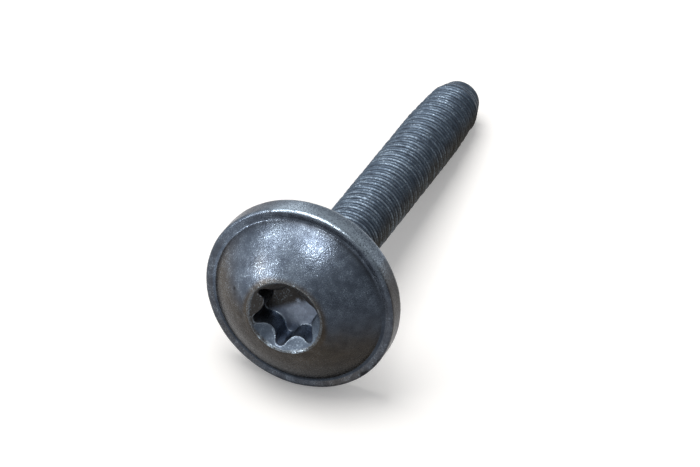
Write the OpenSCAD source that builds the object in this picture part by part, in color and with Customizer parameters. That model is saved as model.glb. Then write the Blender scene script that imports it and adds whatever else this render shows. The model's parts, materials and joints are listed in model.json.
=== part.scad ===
// Flange head machine screw with a domed head, a six-lobe drive recess, a tapered lead and a pilot point.
// Millimetres. It lies on the rim of its flange and on the end of its thread, on the plane z = 0,
// head towards -X, with the origin under the middle of its length.

/* [Thread] */
// Major diameter of the thread, over its crests
thread_d = 6; // [5.5:0.1:6.5]
// Pitch of the thread, which sets how deep the neck behind it is rolled
thread_pitch = 1; // [0.5:0.05:1.25]
// Length from the bearing face to the end of the point
screw_l = 40; // [30:1:80]
// Length of the neck between the bearing face and the first thread
neck_l = 1.2; // [0.8:0.1:4]
// Radius of the fillet where the neck meets the bearing face
neck_fillet = 0.4; // [0.2:0.05:0.7]

/* [Point] */
// Length of the tapered lead between the last full thread and the point
lead_l = 2.6; // [1.5:0.1:5]
// Diameter at the small end of the tapered lead
lead_end_d = 4.7; // [4.5:0.1:5.2]
// Diameter of the pilot point
point_d = 4.2; // [3:0.1:4.4]
// Length of the pilot point
point_l = 1.3; // [0.8:0.1:3]
// Radius of the rounded edge of the pilot point
point_edge = 0.5; // [0.1:0.05:0.7]

/* [Flange] */
// Diameter of the flange
flange_d = 19; // [17:0.25:24]
// Thickness of the flange, from the bearing face to its front corner
flange_t = 2.7; // [1.8:0.1:3]
// Radius of the rounded edge beside the bearing face
rear_edge = 0.75; // [0.3:0.05:1]
// Radius of the front corner
front_edge = 0.35; // [0.1:0.05:0.5]
// Width of the stepped ring between the dome and the rim
ring_w = 1; // [0.6:0.05:1.5]
// Depth of the ring at the foot of the dome, below the front corner
ring_depth = 0.2; // [0.02:0.02:0.4]

/* [Dome] */
// Height of the recess mouth above the bearing face
head_h = 6; // [5.5:0.1:8]

/* [Drive recess] */
// Diameter of the mouth of the recess
mouth_d = 7.4; // [7:0.1:9]
// Diameter across opposite lobes
lobe_d = 6.75; // [6.4:0.05:6.95]
// Diameter across opposite teeth
tooth_d = 4.85; // [4.6:0.05:5.1]
// Radius at the end of each lobe
lobe_r = 0.55; // [0.45:0.05:0.65]
// Slope of the dished entry over the teeth, in degrees
entry_slope = 38; // [25:1:50]
// Depth from the mouth to the floor at the lobes
recess_depth = 3.05; // [2.5:0.05:4]
// Further depth of the shallow cone in the floor
floor_cone = 0.35; // [0.1:0.05:0.8]
// Turn of the recess about the axis of the screw, in degrees
recess_turn = 53; // [0:1:60]

/* [Hidden] */
$fn = 96;

// Thread, neck and point
thread_r = thread_d / 2;
flank_height = 0.65 * thread_pitch; // of the rolled thread, taken off the diameter to give the blank
neck_r = (thread_d - flank_height) / 2;
run_out = thread_r - neck_r;
point_r = point_d / 2;
lead_end_r = lead_end_d / 2;
point_start = screw_l - point_l;
lead_start = point_start - lead_l;

// Flange and dome: the dome is a sphere through the mouth of the recess and the foot of the ring
flange_r = flange_d / 2;
mouth_r = mouth_d / 2;
foot_r = flange_r - ring_w;
foot_z = flange_t - ring_depth;
dome_z = (head_h^2 + mouth_r^2 - foot_z^2 - foot_r^2) / (2 * (head_h - foot_z));
dome_r = norm([mouth_r, head_h - dome_z]);
foot_angle = atan2(foot_z - dome_z, foot_r);
mouth_angle = atan2(head_h - dome_z, mouth_r);

// Recess: the tooth arcs run tangent into the lobe arcs
LOBES = 6;
half_step = 180 / LOBES;
lobe_c = lobe_d / 2 - lobe_r;
tooth_in = tooth_d / 2;
tooth_r = (lobe_c^2 + tooth_in^2 - 2 * lobe_c * tooth_in * cos(half_step) - lobe_r^2)
    / (2 * (lobe_r - tooth_in + lobe_c * cos(half_step)));
tooth_c = tooth_in + tooth_r;
blend_angle = atan2(tooth_c * sin(half_step), tooth_c * cos(half_step) - lobe_c);
dish_in = 0.1; // how far the dish and the floor cone stay inside the tooth tips
dish_r = tooth_in - dish_in;
dish_depth = (mouth_r - dish_r) * tan(entry_slope);
over = 0.2; // how far the cutter stands above the mouth

// Rest: a plane touches the rounded rear edge of the flange and the start of the lead
rest_along = lead_start + rear_edge;
rest_across = flange_r - rear_edge - thread_r;
tilt = atan2(rest_across, rest_along) + asin(rear_edge / norm([rest_along, rest_across]));
bearing_z = lead_start * sin(tilt) + thread_r * cos(tilt);
reach_head = head_h * cos(tilt) + mouth_r * sin(tilt);
reach_point = (screw_l - point_edge) * cos(tilt) + (point_r - point_edge) * sin(tilt) + point_edge;
bearing_x = (reach_head - reach_point) / 2;

// Where the sweep of the section starts, in degrees, so that a faceted copy lies on flats and not on corners
seam_turn = 107.5;

// Points on an arc of radius r about c, from angle a to angle b
function arc(c, r, a, b, steps) =
    [for (i = [0:steps]) let (t = a + (b - a) * i / steps) c + r * [cos(t), sin(t)]];

// Half section of the screw, radius by height, from the end of the point round to the mouth
function screw_section() = concat(
    [[0, -screw_l]],
    arc([point_r - point_edge, point_edge - screw_l], point_edge, -90, 0, 6),
    [[point_r, -point_start], [lead_end_r, -point_start]],
    [[thread_r, -lead_start], [thread_r, -neck_l - run_out], [neck_r, -neck_l]],
    arc([neck_r + neck_fillet, -neck_fillet], neck_fillet, 180, 90, 6),
    arc([flange_r - rear_edge, rear_edge], rear_edge, -90, 0, 9),
    arc([flange_r - front_edge, flange_t - front_edge], front_edge, 0, 90, 4),
    arc([0, dome_z], dome_r, foot_angle, mouth_angle, 16),
    [[0, head_h]]
);

// One lobe and the tooth after it, as a stretch of the outline of the recess
function lobe_and_tooth(a) = concat(
    arc(lobe_c * [cos(a), sin(a)], lobe_r, a - blend_angle, a + blend_angle, 10),
    arc(tooth_c * [cos(a + half_step), sin(a + half_step)], tooth_r,
        a + 180 + blend_angle, a + 180 + 2 * half_step - blend_angle, 8)
);

module six_lobe_outline() {
    polygon([for (k = [0:LOBES - 1]) each lobe_and_tooth(2 * half_step * k)]);
}

// Cutter for the recess: a dished entry, the six-lobe socket and a shallow cone in its floor
module drive_recess() {
    translate([0, 0, head_h]) {
        rotate_extrude()
            polygon([[0, over], [mouth_r + over / tan(entry_slope), over], [dish_r, -dish_depth], [0, -dish_depth]]);
        translate([0, 0, -recess_depth])
            rotate([0, 0, recess_turn])
                linear_extrude(recess_depth)
                    six_lobe_outline();
        translate([0, 0, -recess_depth - floor_cone])
            cylinder(h = floor_cone + dish_in, r1 = 0, r2 = dish_r * (1 + dish_in / floor_cone));
    }
}

// Lay an upright screw, head up on its bearing face, down to where it comes to rest
module at_rest() {
    translate([bearing_x, 0, bearing_z])
        rotate([0, tilt - 90, 0])
            children();
}

module screw() {
    color("slategray")
        at_rest()
            difference() {
                rotate([0, 0, seam_turn])
                    rotate_extrude()
                        polygon(screw_section());
                drive_recess();
            }
}

screw();
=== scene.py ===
import json
import math
from types import SimpleNamespace

import bpy
import numpy as np
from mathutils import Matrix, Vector


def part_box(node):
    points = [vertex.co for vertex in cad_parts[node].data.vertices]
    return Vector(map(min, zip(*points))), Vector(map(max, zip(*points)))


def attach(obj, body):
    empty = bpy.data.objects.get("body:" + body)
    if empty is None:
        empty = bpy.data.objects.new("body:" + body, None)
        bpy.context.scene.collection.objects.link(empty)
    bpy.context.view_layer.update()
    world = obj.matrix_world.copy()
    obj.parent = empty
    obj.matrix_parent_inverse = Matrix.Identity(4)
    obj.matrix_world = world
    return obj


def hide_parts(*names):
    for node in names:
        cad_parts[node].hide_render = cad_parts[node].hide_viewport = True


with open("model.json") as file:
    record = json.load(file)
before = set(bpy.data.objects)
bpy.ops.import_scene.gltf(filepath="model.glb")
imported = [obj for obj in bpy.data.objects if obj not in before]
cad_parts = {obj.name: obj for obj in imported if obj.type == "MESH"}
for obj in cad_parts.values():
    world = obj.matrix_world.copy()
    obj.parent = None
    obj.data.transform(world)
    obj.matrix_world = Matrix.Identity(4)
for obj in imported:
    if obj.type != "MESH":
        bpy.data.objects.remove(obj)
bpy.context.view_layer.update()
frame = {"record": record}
mm = 0.001
inset = 0.004  # how far the skin stays inside the solid, in millimetres

# Where the screw lies, from the frame, in millimetres
mounts = {mount["name"]: mount for mount in frame["record"]["mounts"]}


def mountPlace(name):
    return np.array(mounts[name]["pos_m"], float) / mm


toPoint = np.array(mounts["thread"]["axis"], float)  # along the shank, from the head to the point
toPoint /= np.linalg.norm(toPoint)
mouthCentre = mountPlace("drive_recess")
headHeight = (mountPlace("bearing_face") - mouthCentre) @ toPoint
seat = mouthCentre + headHeight * toPoint  # middle of the bearing face
sideways = np.array([0.0, 1.0, 0.0])
upright = np.cross(toPoint, sideways)  # square to the shank, and as near to straight up as that allows
threadMount = (mountPlace("thread") - seat) @ toPoint
threadLength = mounts["thread"]["dims"]["length_mm"]
lowCorner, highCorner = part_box("screw")
print("screw lies with its bearing face at", [round(float(v), 3) for v in seat], "mm")


# Shape helpers, in millimetres


# 0 below low, 1 above high, and 3t^2 - 2t^3 between them, where t is the share of the way
def smoothStep(values, low, high):
    t = np.clip((values - low) / (high - low), 0, 1)
    return t * t * (3 - 2 * t)


# The same rise times a strength, for three values kept together as (low, high, strength)
def rise(values, ramp):
    low, high, strength = ramp
    return strength * smoothStep(values, low, high)


# exp of minus the squared distance from a place on the head, over a squared spread
def bell(up, left, high, leftwards, spreadSquared):
    return np.exp(-((up - high) ** 2 + (left - leftwards) ** 2) / spreadSquared)


# Random numbers from -1 to 1 on the corners of a cubic grid, blended by 3t^2 - 2t^3 along each axis of a cell
def cloudNoise(points, cell, seed):
    period = 32  # cells before the pattern repeats
    table = np.random.default_rng(seed).uniform(-1, 1, (period, period, period))
    corner = np.floor(points / cell).astype(int)
    share = points / cell - corner
    share = share * share * (3 - 2 * share)
    total = np.zeros(len(points))
    for step in np.ndindex(2, 2, 2):
        weight = np.prod(np.where(np.array(step), share, 1 - share), axis=1)
        total += weight * table[tuple(((corner + step) % period).T)]
    return total


# Broken patches: a middle value plus a swing times the noise, held between 0 and a top value
def patches(points, cell, seed, middle=0.55, swing=0.9, top=1.0):
    return np.clip(middle + swing * cloudNoise(points, cell, seed), 0, top)


# Points on an arc that touches both legs of a corner. Its centre is radius / sin(half the corner) away on the
# bisector, and each ray is the first and the last one weighted by the sines of the angles to the other.
def bend(before, corner, after, radius, steps):
    before, corner, after = (np.array(p, float) for p in (before, corner, after))
    legIn = (before - corner) / np.linalg.norm(before - corner)
    legOut = (after - corner) / np.linalg.norm(after - corner)
    half = math.acos(np.clip(legIn @ legOut, -1, 1)) / 2
    middle = (legIn + legOut) / np.linalg.norm(legIn + legOut)
    centre = corner + middle * radius / math.sin(half)
    first = corner + legIn * radius / math.tan(half) - centre
    last = corner + legOut * radius / math.tan(half) - centre
    share = np.linspace(0, 1, steps + 1)[:, None]
    sweep = math.pi - 2 * half
    rays = (np.sin((1 - share) * sweep) * first + np.sin(share * sweep) * last) / math.sin(sweep)
    return centre + rays


# Evenly spaced points between two ends, without the ends themselves
def line(start, end, steps):
    share = np.linspace(0, 1, steps + 1)[1:-1, None]
    return (1 - share) * np.array(start, float) + share * np.array(end, float)


# Shares of the way from 0 to 1, without 0
def shares(count):
    return np.linspace(0, 1, count + 1)[1:]


# Points at an angle round the axis from the top to the left, a distance out from it, and a distance along it
# from the bearing face towards the point of the screw
def place(angles, radius, along):
    angles, radius, along = (np.asarray(v, float)[..., None] for v in (angles, radius, along))
    return seat + along * toPoint + radius * (np.cos(angles) * upright + np.sin(angles) * sideways)


# Head, in millimetres
head = {
    "flangeRadius": (highCorner.y - lowCorner.y) / 2 / mm - inset,
    "flangeThick": 2.7,  # from the bearing face to the front corner
    "rearEdge": 0.75,
    "frontEdge": 0.35,
    "ringWide": 1.0,  # the stepped ring between the dome and the rim
    "ringDeep": 0.2,
    "creaseRound": 0.3,
    "neckRound": 0.4,
    "mouthRadius": 3.7,
    "mouthRound": 0.14,
    "columns": 216,
    # steps along each stretch of the section
    "mouthSteps": 4,
    "domeSteps": 49,
    "creaseSteps": 7,
    "ringSteps": 5,
    "frontSteps": 6,
    "rimSteps": 7,
    "rearSteps": 9,
    "seatSteps": 9,
    "neckSteps": 6,
}
recess = {
    "lobes": 6,
    "lobeTip": 3.375,
    "toothTip": 2.425,
    "lobeRound": 0.55,
    "entrySlope": 38.0,
    "depth": 3.05,
    "floorCone": 0.35,
    "floorRound": 0.1,
    "edgeRound": 0.09,
    "turn": 53.0,
    "floorRows": 9,
    "footRows": 3,
    "wallRows": 11,
    "edgeRows": ((0.18, 0.35), (0.55, 0.08), (1.1, 0.0)),  # out and down from the wall, in edge radii
    "dishRows": 5,
    "dishEnd": 0.6,  # how far in from the mouth the dish ends, in radii of the mouth's round
}


# Distance from the axis to the six-lobe outline. Each lobe is an arc about its own centre, and the tooth
# between two lobes is an arc that bulges inwards and runs tangent into both.
def lobeOutline(angles):
    halfStep = math.pi / recess["lobes"]
    lobeRound, tip = recess["lobeRound"], recess["toothTip"]
    lobeCentre = recess["lobeTip"] - lobeRound
    toothRound = (lobeCentre**2 + tip**2 - 2 * lobeCentre * tip * math.cos(halfStep) - lobeRound**2) / (
        2 * (lobeRound - tip + lobeCentre * math.cos(halfStep))
    )
    toothCentre = tip + toothRound
    touch = math.atan2(toothCentre * math.sin(halfStep), toothCentre * math.cos(halfStep) - lobeCentre)
    change = math.atan2(lobeRound * math.sin(touch), lobeCentre + lobeRound * math.cos(touch))
    off = np.abs((angles - math.radians(recess["turn"]) + halfStep) % (2 * halfStep) - halfStep)
    fromTooth = halfStep - off
    lobeRoot = np.sqrt(np.maximum(lobeRound**2 - (lobeCentre * np.sin(off)) ** 2, 0))
    toothRoot = np.sqrt(np.maximum(toothRound**2 - (toothCentre * np.sin(fromTooth)) ** 2, 0))
    onLobe, onTooth = lobeCentre * np.cos(off) + lobeRoot, toothCentre * np.cos(fromTooth) - toothRoot
    return np.where(off < change, onLobe, onTooth)


# Rows from the middle of the floor out to the mouth, each a radius and a height above the bearing face for
# every angle: a shallow cone, a fillet at the foot, the six-lobe wall, its worn edge and a dish of one slope
def recessRows(angles):
    outline = lobeOutline(angles)
    mouth, slope = head["mouthRadius"], math.tan(math.radians(recess["entrySlope"]))
    fillet, edge = recess["floorRound"], recess["edgeRound"]
    floorHeight = headHeight - recess["depth"]

    def cone(radius):
        return floorHeight - recess["floorCone"] * np.maximum(0, 1 - radius / recess["toothTip"])

    def dish(radius):
        return headHeight - (mouth - radius) * slope

    def bothOf(radii, height):
        return [(radius, height(radius)) for radius in radii]

    floorOut = outline - fillet
    foot = []
    for turn in shares(recess["footRows"]) * math.pi / 2:
        height = floorHeight + fillet * (1 - math.cos(turn))
        foot.append((floorOut + fillet * math.sin(turn), np.full_like(outline, height)))
    wallFoot, wallTop = floorHeight + fillet, dish(outline) - edge
    top = []
    for out, down in recess["edgeRows"]:
        radius = outline + edge * out
        top.append((radius, dish(radius) - edge * down))
    dishIn, dishOut = top[-1][0], mouth - head["mouthRound"] * recess["dishEnd"]
    dishRadii = [dishIn + (dishOut - dishIn) * share for share in shares(recess["dishRows"] + 1)[:-1]]
    return {
        "floor": bothOf([floorOut * share for share in shares(recess["floorRows"])], cone),
        "foot": foot,
        "wall": [(outline, wallFoot + (wallTop - wallFoot) * share) for share in shares(recess["wallRows"])],
        "edge": top,
        "dish": bothOf(dishRadii, dish),
    }


# Half section from the mouth of the recess over the dome, ring and flange to the neck, as (radius, height).
# The dome is the one sphere through the mouth and the foot of the ring.
def outerSection():
    rim, thick, neckRadius = head["flangeRadius"], head["flangeThick"], thread["neckRadius"]
    mouth = np.array([head["mouthRadius"], headHeight])
    foot = np.array([rim - head["ringWide"], thick - head["ringDeep"]])
    domeMiddle = (mouth @ mouth - foot @ foot) / (2 * (mouth[1] - foot[1]))  # height of its centre
    domeRadius = math.hypot(mouth[0], mouth[1] - domeMiddle)
    legReach = 0.5  # from a corner to the point on the dome that its arc turns towards

    def onDome(radius):
        return np.stack([radius, domeMiddle + np.sqrt(domeRadius**2 - radius**2)], axis=-1)

    dishLeg = mouth - [1, math.tan(math.radians(recess["entrySlope"]))]
    domeLeg, creaseLeg = onDome(np.array(mouth[0] + legReach)), onDome(np.array(foot[0] - legReach))
    mouthArc = bend(dishLeg, mouth, domeLeg, head["mouthRound"], head["mouthSteps"])
    crease = bend(creaseLeg, foot, (rim, thick), head["creaseRound"], head["creaseSteps"])
    front = bend(foot, (rim, thick), (rim, 0), head["frontEdge"], head["frontSteps"])
    rear = bend((rim, thick), (rim, 0), (0, 0), head["rearEdge"], head["rearSteps"])
    neck = bend((rim, 0), (neckRadius, 0), (neckRadius, -rim), head["neckRound"], head["neckSteps"])
    return np.concatenate(
        [
            mouthArc,
            onDome(np.linspace(mouthArc[-1][0], crease[0][0], head["domeSteps"] + 1)[1:-1]),
            crease,
            line(crease[-1], front[0], head["ringSteps"]),
            front,
            line(front[-1], rear[0], head["rimSteps"]),
            rear,
            line(rear[-1], neck[0], head["seatSteps"]),
            neck,
        ]
    )


# Angle, radius and distance along the axis of the whole head, row by row from the recess to the neck, and
# which points are the floor, foot, wall, edge and dish of the recess
def headGrid():
    columns = head["columns"]
    angles = np.linspace(0, 2 * math.pi, columns, endpoint=False)
    radius, height, parts = [], [], {}
    for name, rows in recessRows(angles).items():
        parts[name] = slice(len(radius) * columns, (len(radius) + len(rows)) * columns)
        radius += [row[0] for row in rows]
        height += [row[1] for row in rows]
    section = outerSection()
    radius = np.concatenate([np.array(radius), np.repeat(section[:, :1], columns, axis=1)])
    height = np.concatenate([np.array(height), np.repeat(section[:, 1:], columns, axis=1)])
    return np.broadcast_to(angles, radius.shape), radius, -height, parts


# Shank, in millimetres from the bearing face
thread = {
    "radius": mounts["thread"]["dims"]["r_mm"] - inset,
    "start": 0.52,
    "end": threadMount + threadLength / 2,
    "pitch": 1.0,
    "neckRadius": 2.675,
    "neckEnd": 1.2,
    "runOut": 1.1,
    "leadEnd": 38.7,
    "leadEndRadius": 2.35,
    "leadCurve": 1.15,
    "leadRidge": 0.15,  # share of the ridge's depth that is left on the lead
    "leadEase": (-5.0, 1.0, 0.24),  # from and to, past the last full thread, and how much lower crests are
    "pointRadius": 2.1,
    "pointCorner": 0.1,
    "pointEdge": 0.5,
    "length": 40.0,
    "faceLean": 0.002,
    "faceDish": 0.03,  # how far the middle of the end face is drawn in
    "columns": 108,
    "cornerSteps": 3,
    "pointSteps": 4,
    "edgeSteps": 7,
    "endSteps": 6,
}
# One turn of the rolled profile, as shares of the pitch and depths below the crest: a seam between two thin
# lips, a straight flank, the root, and the same again in reverse
ridgeShare = np.array([0, 0.08, 0.16, 0.2, 0.24, 0.28, 0.36, 0.45, 0.55, 0.64, 0.72, 0.76, 0.8, 0.84, 0.92])
ridgeDepth = np.array([0.15, 0.13, 0.05, 0.01, 0, 0.03, 0.18, 0.46, 0.46, 0.24, 0.09, 0.06, 0.07, 0.1, 0.14])
threadWear = {
    "damage": 0.12,  # depth of the nicks in the crests
    "crestDepth": 0.1,
    "lipDepth": 0.08,
    "flankDepth": 0.1,
    "rootDepth": 0.3,
    "flankDark": 0.6,
    "lipFade": (22.0, 36.0, 0.8),
    "rootFade": 0.8,
    # noise is read on a cylinder of this radius, stretched along the shank, each with its size and seed
    "noiseRadius": 3.0,
    "noiseStretch": 1.5,
    "nickNoise": (0.45, 5),
    "nickGroups": (2.6, 6),
    "lipNoise": (1.3, 7),
}


# A grid whose rows follow the helix: a right-hand ridge comes nearer to the head as the angle grows. Row k of
# turn t lies at (t + share of k - angle / full turn) pitches, held between the neck and the end of the lead.
# Its radius is the crest less the depth of row k, held under the lead, and blended into the neck.
def shankGrid():
    angles = np.linspace(0, 2 * math.pi, thread["columns"], endpoint=False)
    start, end, leadEnd = thread["start"], thread["end"], thread["leadEnd"]
    turns = math.ceil((leadEnd - start) / thread["pitch"]) + 2
    share = (np.arange(turns)[:, None] + ridgeShare).ravel()
    along = start + (share[:, None] - 1 - angles / (2 * math.pi)) * thread["pitch"]
    along = np.clip(along, start, leadEnd)
    angles = np.broadcast_to(angles, along.shape)
    # nicks in the crests, in larger patches
    reach = threadWear["noiseRadius"]
    around = [along * threadWear["noiseStretch"], reach * np.cos(angles), reach * np.sin(angles)]
    around = np.stack(around, axis=-1).reshape(-1, 3)
    damage = np.maximum(cloudNoise(around, *threadWear["nickNoise"]), 0)
    damage *= 0.5 + 0.5 * cloudNoise(around, *threadWear["nickGroups"])
    depth = np.tile(ridgeDepth, turns)[:, None]
    depth = depth + threadWear["damage"] * damage.reshape(along.shape) * (depth < threadWear["crestDepth"])
    # the ridge on the full thread, the lead as an envelope over it, and the run-out at the neck
    lead = np.clip((along - end) / (leadEnd - end), 0, 1)
    envelope = thread["radius"] + (thread["leadEndRadius"] - thread["radius"]) * lead ** thread["leadCurve"]
    ridge = thread["radius"] - rise(along - end, thread["leadEase"]) - depth
    full = np.minimum(ridge, envelope - thread["leadRidge"] * depth)
    fade = smoothStep(along, thread["neckEnd"], thread["neckEnd"] + thread["runOut"])
    radius = thread["neckRadius"] + (full - thread["neckRadius"]) * fade
    radius = np.where(along >= leadEnd - 1e-6, thread["leadEndRadius"], radius)
    # masks: bare lips in patches, with a painted highlight on them, and painted shade in the root and its
    # flanks
    lip = (depth < threadWear["lipDepth"]) * fade * (1 - rise(along, threadWear["lipFade"]))
    lip *= patches(around, *threadWear["lipNoise"]).reshape(along.shape)
    root = np.where(depth > threadWear["flankDepth"], threadWear["flankDark"], 0.0)
    root = np.where(depth > threadWear["rootDepth"], 1.0, root) * fade * (1 - threadWear["rootFade"] * lead)
    return angles, radius, along, lip, root


# Angle, radius and distance along the axis from the end of the lead over the pilot point and round its edge
def tipGrid():
    start, end, radius = thread["leadEnd"], thread["length"], thread["pointRadius"]
    leadFoot, inner, outer = (thread["leadEndRadius"], start), (radius, start), (radius, end)
    corner = bend(leadFoot, inner, outer, thread["pointCorner"], thread["cornerSteps"])
    edge = bend(inner, outer, (0, end - thread["faceLean"]), thread["pointEdge"], thread["edgeSteps"])
    shaft = line(corner[-1], edge[0], thread["pointSteps"])
    face = line(edge[-1], (0, end - thread["faceDish"]), thread["endSteps"])
    section = np.concatenate([corner, shaft, edge, face])
    angles = np.linspace(0, 2 * math.pi, thread["columns"], endpoint=False)
    radius, along = (np.repeat(values[:, None], len(angles), axis=1) for values in section.T)
    return np.broadcast_to(angles, radius.shape), radius, along


# Two triangles for each cell of a grid of points numbered row by row. With a shift, the last column joins the
# first one that many rows back, as on a helix.
def gridTriangles(first, rows, columns, shift=0):
    row, column = np.meshgrid(np.arange(rows - 1), np.arange(columns), indexing="ij")
    nextColumn = (column + 1) % columns
    back = np.where(column == columns - 1, shift, 0)
    keep = (row - back) >= 0
    a = row * columns + column
    b = (row + 1) * columns + column
    c = (row + 1 - back) * columns + nextColumn
    d = (row - back) * columns + nextColumn
    cells = np.stack([a, b, c, d], axis=-1)[keep] + first
    return np.concatenate([cells[:, [0, 1, 2]], cells[:, [0, 2, 3]]])


# Triangles between two closed rings of as many points
def ringTriangles(ring, other):
    following = np.roll(other, -1)
    near = np.stack([ring, other, following], axis=-1)
    far = np.stack([ring, following, np.roll(ring, -1)], axis=-1)
    return np.concatenate([near, far])


# Triangles between a closed ring and one of half as many points, three for each point of the smaller ring
def halvingTriangles(ring, half):
    even, odd, following = ring[0::2], ring[1::2], np.roll(ring[0::2], -1)
    nextHalf = np.roll(half, -1)
    corners = ((even, half, odd), (odd, half, nextHalf), (odd, nextHalf, following))
    return np.concatenate([np.stack(three, axis=-1) for three in corners])


# Triangles from one point to a closed ring of points
def fan(centre, ring, outwards):
    following = np.roll(ring, -1)
    pair = (ring, following) if outwards else (following, ring)
    return np.stack([np.full(len(ring), centre), *pair], axis=-1)


# Sum of the area vectors of the triangles round each point, scaled to length 1
def pointNormals(points, triangles):
    corners = points[triangles]
    normals = np.cross(corners[:, 1] - corners[:, 0], corners[:, 2] - corners[:, 0])
    total = np.zeros_like(points)
    for axis in range(3):
        weights = np.repeat(normals[:, axis], 3)
        total[:, axis] = np.bincount(triangles.ravel(), weights=weights, minlength=len(points))
    return total / np.maximum(np.linalg.norm(total, axis=1, keepdims=True), 1e-12)


# Coat, wear and painted light. Places on the head are in millimetres up and left of the axis, as seen from in
# front of the head, out from the axis, or in front of the bearing face. A ramp is (from, to) or (from, to,
# strength).
# The masks say how far a point is rubbed bare or has a painted highlight, is darker by painted shade and
# dirt, is paler by the painted light of the recess, is darker by a painted shadow, is brown by patina and
# painted shade, is rough, and is paler or darker by painted light and shade.
areas = {
    "rim": (0.75, 0.1),  # how far in from the rim, and in front of what
    "band": (0.4, 2.45),  # how far in, and behind what
    "domeBehind": 0.1,
    "mouth": (0.13, 0.25),  # half its width, and how deep
    "shankBehind": 0.5,
}
domeCoat = {
    # brown low down and at the left is partly patina and partly painted shade
    "brownSlant": 0.15,  # how much of the way left counts as down
    "brownBelow": (-0.25, 0.5),  # in flange radii
    "brownLeft": (3.5, 8.0, 0.5),
    "brownFoot": (4.0, 7.0, 0.2),
    "brownMouth": (3.8, 4.5, 0.6),
    "mouthBrown": 0.8,
    "litSlant": 0.35,  # painted light above: how much of the way left counts as up
    "litAbove": (-2.0, 5.0),
    "paleRing": (5.2, -1.5, 6.0, 0.2),  # how far out and left, squared spread and strength, on the lower half
    # painted shade towards the left
    "shadeSlant": 0.5,
    "shadeLeft": (4.5, 8.0, 0.2),
    "footOut": (7.3, 8.4, 0.4),  # painted shade at the foot of the dome, high up
    "footHigh": (2.0, 6.0),
    "paintedHighlight": (4.9, 0.3, 2.2, 9.0, 0.22),  # a painted highlight: how high and left, squared spreads and strength
    "highlightPatches": (0.8, 23, 0.6, 0.8, 1.2),  # size, seed, middle, swing and top value
    "glintAt": 178,  # painted glints on the mouth, degrees round from the top
    "glintWide": (0.65, 0.95),
    "mouthWearAndGlints": (0.16, 1.5),  # worn all round, and painted glints
    # spots of one mask: how high and left, squared spread and strength; the spots of wear are painted
    # highlights
    "spots": (
        ("paintedShading", -2.5, 5.0, 8.0, 0.1),
        ("patinaAndShade", 4.6, 2.9, 1.6, 0.35),
        ("wearAndHighlight", 7.3, 2.4, 0.25, 0.3),
        ("wearAndHighlight", 6.05, 3.65, 0.81, 0.05),
        ("wearAndHighlight", 4.4, 3.1, 0.25, 0.05),
    ),
}
recessCoat = {
    "floor": 1.0,  # the floor gets the brightest painted light
    "rest": 0.15,
    "brokenPatches": (0.4, 21),  # size and seed, for the painted glints on the edges and the mouth
    # painted shade in the recess, and a painted shadow at its upper left
    "paintedShading": 0.65,
    "shadowSlant": 0.5,
    "shadowShift": 0.35,
    "paintedShadow": (-0.3, 0.5),
    "lowerAt": 20,  # the lower side, with painted light and glints, degrees round from straight down
    "lower": (-0.3, 0.3),
    # painted shade on the walls, less on the lower ones, and painted glints on their feet and edges
    "wallDark": 0.55,
    "footGlint": 0.95,
    "edgeHighlight": 0.45,
    "lobeOut": (2.95, 3.2, 0.6),  # the ends of the lower lobes get painted light near the mouth
    "lobeHigh": (-2.0, -0.9),  # from the mouth
    # the dish is darker by painted shade, and paler to the right by painted light
    "dishShading": 0.48,
    "dishPale": (1.0, 3.0, 0.4),
}
rimCoat = {
    "rightSide": (0.55, 0.95),  # sines of the angle from the top
    "rightBelow": 0.6,  # its cosine
    "paintedShading": (0.8, 0.25, 0.2, 0.12),  # painted light and shade: all round, more at the top, less at the right and at the left
    "brown": (0.04, 0.3, 0.34),  # patina and painted shade: all round, less at the top, more at the sides
    "bandLeft": (0.15, 0.7, 0.45),  # painted shade towards the left, radians from the top
    "bandRear": (0.6, 1.9, 0.2),
    "bandRight": (0.4, 0.5, 0.25),  # painted shade: darker, browner and with more of the dark colour
    "litTurn": 0.1,
    "lit": (0.45, 0.95, 1.25),  # a painted highlight on the band: cosines of the angle from the brightest place
    "bandIn": (0.1, 0.35),  # in from the rim
    "bandRearHighlight": 0.45,
    "bandFront": (1.0, 2.1, 0.55),
    "bandLitLeft": (0.1, 0.55),
    # a painted highlight along the front corner
    "cornerFront": (2.15, 2.45),
    "cornerIn": (0.1, 0.26),
    "edge": (0.72, 0.95),
    "edgeHighlight": 0.5,
    "edgeLeft": (0.0, 0.5, 0.25),
    "edgeRight": (0.25, 0.6, 0.2),
    "cornerShade": (0.4, 0.35),  # painted shade on the corner at the right side, and from the top towards it
    "cornerRight": (0.15, 0.5),
    "ringFrom": (0.12, 0.27),  # the ring, with painted shade at the top, begins and ends, in from the rim
    "ringTo": (0.95, 1.4, 0.48),
    "ringFront": 2,
    "ringTurn": 0.4,
    "ringDark": (0.2, 0.85),
}
shankCoat = {
    "radius": 3,
    "brownLean": (0.8, 0.6),  # patina and painted shade, down and right
    "brown": (-0.2, 0.8),
    # painted light, paler above
    "litSlant": 0.3,
    "paintedShading": 0.1,
    "shankLit": (-0.1, 0.75, 0.9),
    "shadeLeft": (0.78, 0.98, 0.6),  # painted shade at the left edge, shares of the distance out
    "edgeShadeLeft": (0.85, 0.99, 0.2),
    # a painted highlight on the bare lips, and painted shade in the roots
    "lips": 0.27,
    "roots": 0.42,
}
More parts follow.
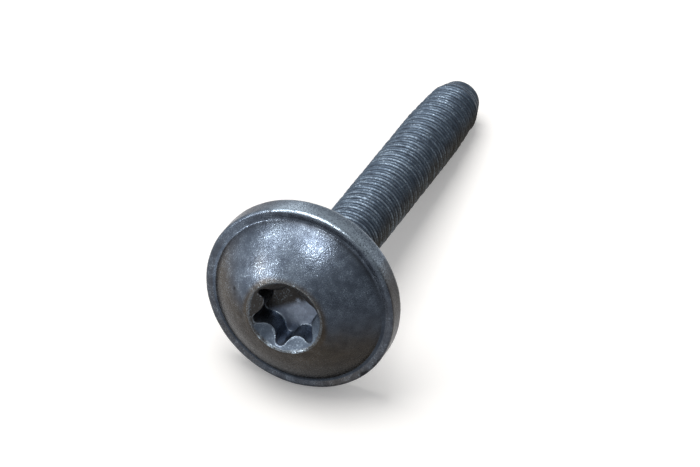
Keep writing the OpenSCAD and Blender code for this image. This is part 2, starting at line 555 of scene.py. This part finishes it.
wear = {
    "waves": ((0.016, 1.5, 11), (0.006, 0.5, 12)),  # depth, size and seed
    "wavesOut": (3.9, 4.6),
    "wavesFront": 0.2,
    "pressFront": -0.4,  # nothing is pressed behind this
    # how dark each dent is made
    "nickDark": 1.3,
    # dents in the head: degrees round it, how far out, in front of the bearing face, width and depth
    "nicks": (
        (79, 5.55, 5.1, 0.16, 0.05),
        (84, 5.3, 5.2, 0.1, 0.03),
        (-132, 9.25, 2.68, 0.26, 0.07),
        (-129, 9.32, 2.66, 0.26, 0.08),
        (-121, 9.4, 2.62, 0.22, 0.06),
        (-117, 9.42, 2.6, 0.18, 0.05),
        (152, 6.6, 4.4, 0.1, 0.03),
        (22, 9.45, 2.6, 0.2, 0.06),
    ),
}
maskNames = ("wearAndHighlight", "shadeAndDirt", "socket", "paintedShadow", "patinaAndShade", "coarse", "paintedShading")


# Where each point lies: up and left of the axis, in front of the bearing face, turned from the top to the
# left in radians, and out from the axis
def whereOn(points):
    local = points - seat
    up, left, front = local @ upright, local @ sideways, -(local @ toPoint)
    turned, out = np.arctan2(left, up), np.hypot(up, left)
    return SimpleNamespace(up=up, left=left, front=front, turned=turned, out=out)


# Which points belong to each area, each as true or false for every point
def findAreas(at, inRecess):
    front, out, rim = at.front, at.out, head["flangeRadius"]
    onRim = (out > rim - areas["rim"][0]) & (front > areas["rim"][1])
    mouthHalf, mouthDeep = areas["mouth"]
    return {
        "rim": onRim,
        "band": onRim & (front < areas["band"][1]) & (out > rim - areas["band"][0]),
        "dome": (front > head["flangeThick"] - areas["domeBehind"]) & ~onRim & ~inRecess,
        "mouth": (np.abs(out - head["mouthRadius"]) < mouthHalf) & (front > headHeight - mouthDeep),
        "shank": front < -areas["shankBehind"],
    }


# The inside of the recess: a painted shadow at the upper left, painted shade on the walls, painted glints on
# the feet and edges of the lower ones, and paler painted light on the floor
def coatRecess(masks, at, inRecess, parts, broken):
    wall = slice(parts["foot"].start, parts["edge"].start + head["columns"])  # with the first row of the edge
    grid = slice(0, parts["dish"].stop)
    masks["socket"][inRecess] = recessCoat["rest"]
    masks["socket"][parts["floor"]] = recessCoat["floor"]
    masks["socket"][parts["middle"]] = recessCoat["floor"]
    masks["paintedShading"][inRecess] = recessCoat["paintedShading"]
    high = at.up + recessCoat["shadowShift"] + recessCoat["shadowSlant"] * at.left
    masks["paintedShadow"][grid] = smoothStep(high, *recessCoat["paintedShadow"])[grid]
    below = smoothStep(-np.cos(at.turned - math.radians(recessCoat["lowerAt"])), *recessCoat["lower"])
    masks["shadeAndDirt"][wall] = (recessCoat["wallDark"] * (1 - below))[wall]
    for name, strength in (("foot", recessCoat["footGlint"]), ("edge", recessCoat["edgeHighlight"])):
        masks["wearAndHighlight"][parts[name]] = (strength * below * broken)[parts[name]]
    deep, shallow = recessCoat["lobeHigh"]
    lobeEnds = below * smoothStep(at.front, headHeight + deep, headHeight + shallow)
    masks["socket"][wall] += (rise(at.out, recessCoat["lobeOut"]) * lobeEnds)[wall]
    masks["coarse"][parts["dish"]] = 1
    dishShading = recessCoat["dishShading"] + rise(-at.left, recessCoat["dishPale"])
    masks["paintedShading"][parts["dish"]] = dishShading[parts["dish"]]


# The rim is bare with a painted highlight at the top, its front corner most of all, and has painted shade,
# dark and brown, at the right. The ring inside it has painted shade at the top.
def coatRim(masks, at, on):
    front, turned, inwards = at.front, at.turned, head["flangeRadius"] - at.out
    rim, band = on["rim"], on["band"]
    top, side = np.cos(turned), np.sin(turned)
    rightSide = smoothStep(-side, *rimCoat["rightSide"]) * (top < rimCoat["rightBelow"])
    plain, atTop, atRight, atLeft = rimCoat["paintedShading"]
    masks["paintedShading"][rim] = (plain + atTop * top - atRight * rightSide - atLeft * np.maximum(side, 0))[rim]
    plain, atTop, atSides = rimCoat["brown"]
    masks["patinaAndShade"][rim] = (plain - atTop * top + atSides * np.abs(side))[rim]
    low, high, rear = rimCoat["bandRear"]
    darker, browner, shadier = rimCoat["bandRight"]
    shade = rise(turned, rimCoat["bandLeft"]) + rear * (1 - smoothStep(front, low, high)) + darker * rightSide
    masks["paintedShading"][band] -= shade[band]
    masks["patinaAndShade"][band] += (browner * rightSide)[band]
    masks["shadeAndDirt"][band] += (shadier * rightSide)[band]

    low, high, strength = rimCoat["lit"]
    lit = strength * smoothStep(np.cos(turned + rimCoat["litTurn"]), low, high)
    lit *= 1 - smoothStep(turned, *rimCoat["bandLitLeft"])
    lit *= 1 - smoothStep(inwards, *rimCoat["bandIn"])
    lit *= rimCoat["bandRearHighlight"] + rise(front, rimCoat["bandFront"])
    corner = smoothStep(front, *rimCoat["cornerFront"]) * (1 - smoothStep(inwards, *rimCoat["cornerIn"]))
    edge = rimCoat["edgeHighlight"] - rise(turned, rimCoat["edgeLeft"]) - rise(-turned, rimCoat["edgeRight"])
    edge *= smoothStep(np.cos(turned - rimCoat["litTurn"]), *rimCoat["edge"])
    masks["wearAndHighlight"][rim] = (lit + edge * corner)[rim]
    atSide, towardsIt = rimCoat["cornerShade"]
    shadeDark = atSide * rightSide + towardsIt * smoothStep(-turned, *rimCoat["cornerRight"]) * (1 - rightSide)
    masks["shadeAndDirt"][rim] += (shadeDark * corner)[rim]

    near, far, strength = rimCoat["ringTo"]
    ring = smoothStep(inwards, *rimCoat["ringFrom"]) * (1 - smoothStep(inwards, near, far))
    ring *= front > rimCoat["ringFront"]
    atTop = smoothStep(np.cos(turned + rimCoat["ringTurn"]), *rimCoat["ringDark"])
    masks["shadeAndDirt"] += strength * ring * atTop


# The shank is brown underneath, by patina and painted shade, and paler above by painted light, with bare lips
# that carry a painted highlight, and painted shade in the roots and at the left edge
def coatShank(masks, at, on, shankPoints, lip, root):
    up, left, shank, radius = at.up, at.left, on["shank"], shankCoat["radius"]
    down, right = shankCoat["brownLean"]
    leftShare = left / np.maximum(at.out, 0.1)
    shankLit = shankCoat["paintedShading"] + rise((up + shankCoat["litSlant"] * left) / radius, shankCoat["shankLit"])
    masks["patinaAndShade"][shank] = smoothStep((-down * up - right * left) / radius, *shankCoat["brown"])[shank]
    masks["paintedShading"][shank] = (shankLit * (1 - rise(leftShare, shankCoat["shadeLeft"])))[shank]
    masks["coarse"][shank] = 1
    masks["wearAndHighlight"][shankPoints] = shankCoat["lips"] * lip.ravel()
    masks["shadeAndDirt"][shankPoints] = shankCoat["roots"] * root.ravel()
    masks["shadeAndDirt"][shank] += rise(leftShare, shankCoat["edgeShadeLeft"])[shank]


# The dome is brown low down, at the left and round the mouth, by patina and painted shade, and paler above by
# painted light, with a painted highlight. The mouth is worn, with painted glints low on it.
def coatDome(masks, at, on, broken, highlightPatches):
    up, left, out = at.up, at.left, at.out
    dome, mouth = on["dome"], on["mouth"]
    slant = domeCoat["brownSlant"] * np.maximum(left, 0)
    brown = smoothStep((slant - up) / head["flangeRadius"], *domeCoat["brownBelow"])
    brown += rise(left, domeCoat["brownLeft"]) + rise(-up, domeCoat["brownFoot"])
    near, far, strength = domeCoat["brownMouth"]
    brown += strength * (1 - smoothStep(out, near, far))
    masks["patinaAndShade"][dome] = brown[dome]
    ringOut, ringLeft, spreadSquared, strength = domeCoat["paleRing"]
    paler = strength * bell(out, left, ringOut, ringLeft, spreadSquared) * (up < 0)
    paler -= rise(left - domeCoat["shadeSlant"] * up, domeCoat["shadeLeft"])
    masks["paintedShading"][dome] += paler[dome]
    masks["shadeAndDirt"][dome] += (rise(out, domeCoat["footOut"]) * smoothStep(up, *domeCoat["footHigh"]))[dome]

    glint = smoothStep(np.cos(at.turned - math.radians(domeCoat["glintAt"])), *domeCoat["glintWide"])
    allRound, inGlints = domeCoat["mouthWearAndGlints"]
    masks["wearAndHighlight"][mouth] = (allRound + inGlints * glint * broken**2)[mouth]
    high, leftwards, spreadUp, spreadLeft, strength = domeCoat["paintedHighlight"]
    paintedHighlight = strength * np.exp(-((up - high) ** 2) / spreadUp - (left - leftwards) ** 2 / spreadLeft)
    masks["wearAndHighlight"][dome] += (paintedHighlight * highlightPatches)[dome]
    for name, high, leftwards, spreadSquared, strength in domeCoat["spots"]:
        masks[name][dome] += (strength * bell(up, left, high, leftwards, spreadSquared))[dome]
    masks["patinaAndShade"][mouth] = domeCoat["mouthBrown"]


# Wear pressed inwards along the normals: a depth times 1 + noise over the outside of the head, and for each
# nick a depth times exp of minus the squared distance over the squared width
def pressWear(points, triangles, masks, at):
    outside = smoothStep(at.out, *wear["wavesOut"]) * (at.front > wear["wavesFront"])
    press = np.zeros(len(points))
    for deep, cell, seed in wear["waves"]:
        press += deep * outside * (1 + cloudNoise(points, cell, seed))
    for angle, reach, forward, wide, deep in wear["nicks"]:
        spot = place([math.radians(angle)], [reach], [-forward])[0]
        near = np.exp(-((np.linalg.norm(points - spot, axis=1) / wide) ** 2))
        press += deep * near
        # the dent is darkened too
        masks["shadeAndDirt"] += wear["nickDark"] * near
    press *= at.front > wear["pressFront"]
    return points - pointNormals(points, triangles) * press[:, None]


# One closed skin: the recess and head, a ring of triangles that halves the number of columns, the helical
# shank and the point, with the masks of its coat and its painted light and shade, and the wear pressed in
def buildScrew():
    *headPlaces, parts = headGrid()
    *shankPlaces, lip, root = shankGrid()
    tipPlaces = tipGrid()
    floorHeight = headHeight - recess["depth"] - recess["floorCone"]
    middles = place([0.0, 0.0], [0.0, 0.0], [-floorHeight, thread["length"] - thread["faceDish"]])
    grids = [place(*places) for places in (headPlaces, shankPlaces, tipPlaces)]
    points = np.concatenate([grid.reshape(-1, 3) for grid in grids] + [middles])

    (headRows, headColumns), (shankRows, columns), (tipRows, _) = (grid.shape[:2] for grid in grids)
    shankStart = headRows * headColumns
    tipStart = shankStart + shankRows * columns
    parts["middle"] = len(points) - 2  # of the floor of the recess
    ring = np.arange(columns)
    headRing = np.arange(headColumns)
    triangles = np.concatenate(
        [
            fan(parts["middle"], headRing, True),
            gridTriangles(0, headRows, headColumns),
            halvingTriangles(shankStart - headColumns + headRing, shankStart + ring),
            gridTriangles(shankStart, shankRows, columns, shift=len(ridgeShare)),
            ringTriangles(tipStart - columns + ring, tipStart + ring),
            gridTriangles(tipStart, tipRows, columns),
            fan(len(points) - 1, parts["middle"] - columns + ring, False),
        ]
    )

    at = whereOn(points)
    inRecess = np.zeros(len(points), bool)
    inRecess[: parts["dish"].stop] = True
    inRecess[parts["middle"]] = True
    on = findAreas(at, inRecess)
    masks = {name: np.zeros(len(points)) for name in maskNames}
    # painted light: paler higher up and towards the left
    masks["paintedShading"] += smoothStep(at.up + domeCoat["litSlant"] * at.left, *domeCoat["litAbove"])
    broken = patches(points, *recessCoat["brokenPatches"])
    coatRecess(masks, at, inRecess, parts, broken)
    coatRim(masks, at, on)
    coatShank(masks, at, on, slice(shankStart, tipStart), lip, root)
    coatDome(masks, at, on, broken, patches(points, *domeCoat["highlightPatches"]))
    points = pressWear(points, triangles, masks, at)

    # points that the helix holds at the same place become one, and the cells between them vanish
    _, kept, same = np.unique(np.round(points, 6), axis=0, return_index=True, return_inverse=True)
    triangles = same.ravel()[triangles]
    alive = np.all(triangles != np.roll(triangles, 1, axis=1), axis=1)
    return points[kept], triangles[alive], {name: values[kept] for name, values in masks.items()}


# A mesh object from millimetre points, triangles and one number per point for each mask
def meshObject(name, points, triangles, masks):
    mesh = bpy.data.meshes.new(name)
    mesh.from_pydata((points * mm).tolist(), [], triangles.tolist())
    for mask, values in masks.items():
        layer = mesh.attributes.new(mask, "FLOAT", "POINT")
        layer.data.foreach_set("value", values.astype(np.float32))
    mesh.polygons.foreach_set("use_smooth", np.ones(len(mesh.polygons), bool))
    mesh.update()
    thing = bpy.data.objects.new(name, mesh)
    bpy.context.scene.collection.objects.link(thing)
    return thing


points, triangles, masks = buildScrew()
screw = meshObject("machine_screw", points, triangles, masks)
print("screw has", len(triangles), "triangles")


# Material helpers


def newMaterial(name):
    material = bpy.data.materials.new(name)
    material.use_nodes = True
    material.node_tree.nodes.clear()
    return material.node_tree, material


# A new node with its settings and the values of its sockets
def put(tree, kind, settings=None, inputs=None):
    node = tree.nodes.new(kind)
    for name, value in (settings or {}).items():
        setattr(node, name, value)
    for name, value in (inputs or {}).items():
        node.inputs[name].default_value = value
    return node


# Each socket gets a value or a link from another node's socket
def feed(tree, sockets, values):
    for socket, value in zip(sockets, values):
        if isinstance(value, bpy.types.NodeSocket):
            tree.links.new(value, socket)
        else:
            socket.default_value = value


# The colour socket of a mix of two colours
def mixColours(tree, factor, first, second, blend="MIX"):
    node = put(tree, "ShaderNodeMix", {"data_type": "RGBA", "blend_type": blend})
    feed(tree, (node.inputs[0], node.inputs[6], node.inputs[7]), (factor, first, second))
    return node.outputs[2]


# The value socket of two numbers joined by an operation
def sums(tree, operation, first, second, clamp=False):
    node = put(tree, "ShaderNodeMath", {"operation": operation, "use_clamp": clamp})
    feed(tree, node.inputs, (first, second))
    return node.outputs[0]


# One value below low, another above high, and a smooth or straight way between them
def ramp(tree, value, low, high, start=0.0, end=1.0, kind="SMOOTHSTEP"):
    limits = {"From Min": low, "From Max": high, "To Min": start, "To Max": end}
    node = put(tree, "ShaderNodeMapRange", {"interpolation_type": kind}, limits)
    tree.links.new(value, node.inputs["Value"])
    return node.outputs["Result"]


# 1 for a ray from the camera, from gloss or through glass
def seenDirectly(tree):
    ray = put(tree, "ShaderNodeLightPath").outputs
    gloss = sums(tree, "MAXIMUM", ray["Is Glossy Ray"], ray["Is Transmission Ray"])
    return sums(tree, "MAXIMUM", ray["Is Camera Ray"], gloss)


coating = {
    # cool and warm coat, bare metal that also gives painted highlights, the dark of painted shade and dirt,
    # the pale painted light of the recess, the dark of the painted shadow, and the ends of the painted light
    # and shade
    "cool": (0.071, 0.09, 0.122, 1),
    "warm": (0.064, 0.054, 0.043, 1),
    "bareAndHighlight": (0.35, 0.43, 0.515, 1),
    "shadeDark": (0.014, 0.015, 0.018, 1),
    "socket": (0.18, 0.215, 0.28, 1),
    "paintedShadow": (0.037, 0.035, 0.034, 1),
    "threadTint": (0.75, 0.81, 0.83, 1),
    "paintedShadeTint": (0.42, 0.42, 0.42, 1),
    "paintedLightTint": (1.3, 1.3, 1.3, 1),
    "darkMottle": (0.8, 0.8, 0.81, 1),
    "paleMottle": (1.26, 1.25, 1.23, 1),
    "edgeTint": (0.8, 0.81, 0.83, 1),
    "metallic": 0.9,
    # patterns: cells in a metre, detail and roughness
    "grain": (5200, 3, 0.7),
    "fleck": (7500, 1, 0.6),
    "cloud": (1100, 5, 0.6),
    "patch": (210, 3, 0.6),
    "patchSwing": 0.7,  # how much the patches move the edge of the brown
    "brown": (0.05, 0.95),
    "mottle": (0.3, 0.72),
    "flecks": (0.53, 0.68),
    "fleckGroups": (0.38, 0.62),
    "fleckShare": 0.5,
    "wearAndHighlightFlecks": (0.25, 0.6),
    "roughness": (0.3, 0.7, 0.36, 0.2),  # from and to in the flecks, and what they become
    "dull": 0.2,  # rougher in the recess and on the shank
    "cloudRelief": 0.8,
    "reliefMetres": 0.000025,
}


def coatedSteel():
    tree, material = newMaterial("coated_steel")
    plain = {"Metallic": coating["metallic"], "Specular Tint": coating["edgeTint"]}
    shader = put(tree, "ShaderNodeBsdfPrincipled", None, plain)
    output = put(tree, "ShaderNodeOutputMaterial")
    tree.links.new(shader.outputs[0], output.inputs["Surface"])
    onObject = put(tree, "ShaderNodeTexCoord").outputs["Object"]

    def noise(scale, detail, roughness):
        values = {"Scale": scale, "Detail": detail, "Roughness": roughness}
        node = put(tree, "ShaderNodeTexNoise", None, values)
        tree.links.new(onObject, node.inputs["Vector"])
        return node.outputs["Fac"]

    def mask(name):
        settings = {"attribute_type": "GEOMETRY", "attribute_name": name}
        return put(tree, "ShaderNodeAttribute", settings).outputs["Fac"]

    grain, fleck, cloud, patch = (noise(*coating[name]) for name in ("grain", "fleck", "cloud", "patch"))

    # colour: the cool coat, brown by its mask of patina and painted shade and by the patches, tinted on the
    # thread, and paler by painted light in the recess
    swing = sums(tree, "MULTIPLY", sums(tree, "SUBTRACT", patch, 0.5), coating["patchSwing"])
    brown = ramp(tree, sums(tree, "ADD", mask("patinaAndShade"), swing), *coating["brown"])
    base = mixColours(tree, brown, coating["cool"], coating["warm"])
    tinted = mixColours(tree, 1.0, base, coating["threadTint"], "MULTIPLY")
    base = mixColours(tree, mask("coarse"), base, tinted)
    base = mixColours(tree, mask("socket"), base, coating["socket"])
    # then darker or paler by painted light and shade and by random mottle, and darker by the painted shadow
    paintedShading = mixColours(tree, mask("paintedShading"), coating["paintedShadeTint"], coating["paintedLightTint"])
    base = mixColours(tree, 1.0, base, paintedShading, "MULTIPLY")
    mottle = ramp(tree, cloud, *coating["mottle"])
    mottle = mixColours(tree, mottle, coating["darkMottle"], coating["paleMottle"])
    base = mixColours(tree, 1.0, base, mottle, "MULTIPLY")
    base = mixColours(tree, mask("paintedShadow"), base, coating["paintedShadow"])
    # then rubbed bare in flecks, more where painted light falls, and bare with painted highlights on edges,
    # and darker by painted shade and dirt
    groups = ramp(tree, cloud, *coating["fleckGroups"])
    flecks = sums(tree, "MULTIPLY", ramp(tree, fleck, *coating["flecks"]), groups)
    flecks = sums(tree, "MULTIPLY", flecks, sums(tree, "MULTIPLY", mask("paintedShading"), coating["fleckShare"]))
    wearAndHighlight = sums(tree, "MULTIPLY", mask("wearAndHighlight"), ramp(tree, fleck, *coating["wearAndHighlightFlecks"]))
    base = mixColours(tree, sums(tree, "ADD", flecks, wearAndHighlight, True), base, coating["bareAndHighlight"])
    base = mixColours(tree, mask("shadeAndDirt"), base, coating["shadeDark"])
    tree.links.new(base, shader.inputs["Base Color"])

    rough = ramp(tree, fleck, *coating["roughness"], "LINEAR")
    dull = sums(tree, "MULTIPLY", sums(tree, "MAXIMUM", mask("socket"), mask("coarse")), coating["dull"])
    tree.links.new(sums(tree, "ADD", rough, dull), shader.inputs["Roughness"])
    relief = sums(tree, "ADD", grain, sums(tree, "MULTIPLY", cloud, coating["cloudRelief"]))
    bump = put(tree, "ShaderNodeBump", None, {"Strength": 1.0, "Distance": coating["reliefMetres"]})
    tree.links.new(relief, bump.inputs["Height"])
    tree.links.new(bump.outputs[0], shader.inputs["Normal"])
    return material


screw.data.materials.append(coatedSteel())
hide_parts("screw")
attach(screw, "root")
print("coating done")


# Floor, room and lamps
studio = {
    "floorHalf": 1.5,
    "floorPaint": (0.92, 0.912, 0.908, 1),
    "floorGlow": 0.2,
    "white": (1, 1, 1, 1),
    "ambient": 0.42,
    "brightest": (100, 32),  # azimuth and elevation of the bright side of the room, in degrees
    "fade": (-0.1, 1.0),  # cosines of the angle from there between which the room brightens
    "dimSide": 0.45,
    "brightSide": 1.0,
    # azimuth and elevation in degrees, distance and side in metres, brightness, whether the floor gets it too
    "lamps": {
        "overhead": (98, 78, 0.9, 0.58, 5.4, True),
        "window": (119, 40, 0.9, 0.14, 25.0, False),
        "ceiling": (-178, 60, 0.9, 0.15, 42.0, False),
        "lowWindow": (134, 14, 0.9, 0.14, 31.0, False),
        "farWindow": (29, 21, 0.9, 0.2, 1.6, False),
    },
    "daylight": (1.0, 0.98, 0.95),
}


# Unit vector at that azimuth from +X and elevation above the floor, in degrees
def direction(azimuth, elevation):
    turn, lift = math.radians(azimuth), math.radians(elevation)
    return Vector((math.cos(turn) * math.cos(lift), math.sin(turn) * math.cos(lift), math.sin(lift)))


# One shader for rays that see the surface directly, and another for the light that it gives
def chooseShader(tree, plain, direct, output):
    choice = put(tree, "ShaderNodeMixShader")
    feed(tree, choice.inputs, (seenDirectly(tree), plain.outputs[0], direct.outputs[0]))
    tree.links.new(choice.outputs[0], put(tree, output).inputs["Surface"])


# Plain pale paint, lifted to white where the camera, gloss or glass sees it
def paleFloor():
    tree, material = newMaterial("pale_floor")
    paint = put(tree, "ShaderNodeBsdfDiffuse", None, {"Color": studio["floorPaint"]})
    glow = put(tree, "ShaderNodeEmission", None, {"Color": studio["white"], "Strength": studio["floorGlow"]})
    both = put(tree, "ShaderNodeAddShader")
    feed(tree, both.inputs, (paint.outputs[0], glow.outputs[0]))
    chooseShader(tree, paint, both, "ShaderNodeOutputMaterial")
    return material


half = studio["floorHalf"]
floorMesh = bpy.data.meshes.new("floor")
floorCorners = [(-half, -half, 0), (half, -half, 0), (half, half, 0), (-half, half, 0)]
floorMesh.from_pydata(floorCorners, [], [(0, 1, 2, 3)])
floor = bpy.data.objects.new("floor", floorMesh)
bpy.context.scene.collection.objects.link(floor)
floor.data.materials.append(paleFloor())

world = bpy.data.worlds.new("studio")
bpy.context.scene.world = world
world.use_nodes = True
room = world.node_tree
room.nodes.clear()
soft = put(room, "ShaderNodeBackground", None, {"Color": studio["white"], "Strength": studio["ambient"]})
white = put(room, "ShaderNodeBackground", None, {"Color": studio["white"]})
brightest = direction(*studio["brightest"])
towards = put(room, "ShaderNodeVectorMath", {"operation": "DOT_PRODUCT"}, {1: brightest})
room.links.new(put(room, "ShaderNodeTexCoord").outputs["Generated"], towards.inputs[0])
shade = ramp(room, towards.outputs["Value"], *studio["fade"], studio["dimSide"], studio["brightSide"])
room.links.new(shade, white.inputs["Strength"])
chooseShader(room, soft, white, "ShaderNodeOutputWorld")

for name, (azimuth, elevation, distance, side, brightness, onFloor) in studio["lamps"].items():
    lamp = bpy.data.lights.new(name, "AREA")
    lamp.size = side
    lamp.energy = brightness * math.pi * side**2  # watts that give this brightness at the face of the lamp
    lamp.color = studio["daylight"]
    lampObject = bpy.data.objects.new(name, lamp)
    lampObject.location = direction(azimuth, elevation) * distance
    lampObject.rotation_euler = direction(azimuth, elevation).to_track_quat("Z", "Y").to_euler()
    lampObject.visible_diffuse = onFloor
    bpy.context.scene.collection.objects.link(lampObject)

# Camera: millimetres of lens and sensor, degrees of heading and dip, metres of distance and aim
view = {
    "lens": 204.0,
    "sensor": 36,
    "heading": 22.58,
    "dip": 41.243,
    "distance": 0.3906,
    "aim": (0.0016, 0.0034, 0.0),
}
camera = bpy.data.cameras.new("photo_view")
camera.lens = view["lens"]
camera.sensor_width = view["sensor"]
cameraObject = bpy.data.objects.new("photo_view", camera)
back = direction(view["heading"] + 180, view["dip"])
cameraObject.location = Vector(view["aim"]) + back * view["distance"]
cameraObject.rotation_euler = back.to_track_quat("Z", "Y").to_euler()
bpy.context.scene.collection.objects.link(cameraObject)
bpy.context.scene.camera = cameraObject
bpy.context.scene.view_settings.view_transform = "Standard"
print("studio done")
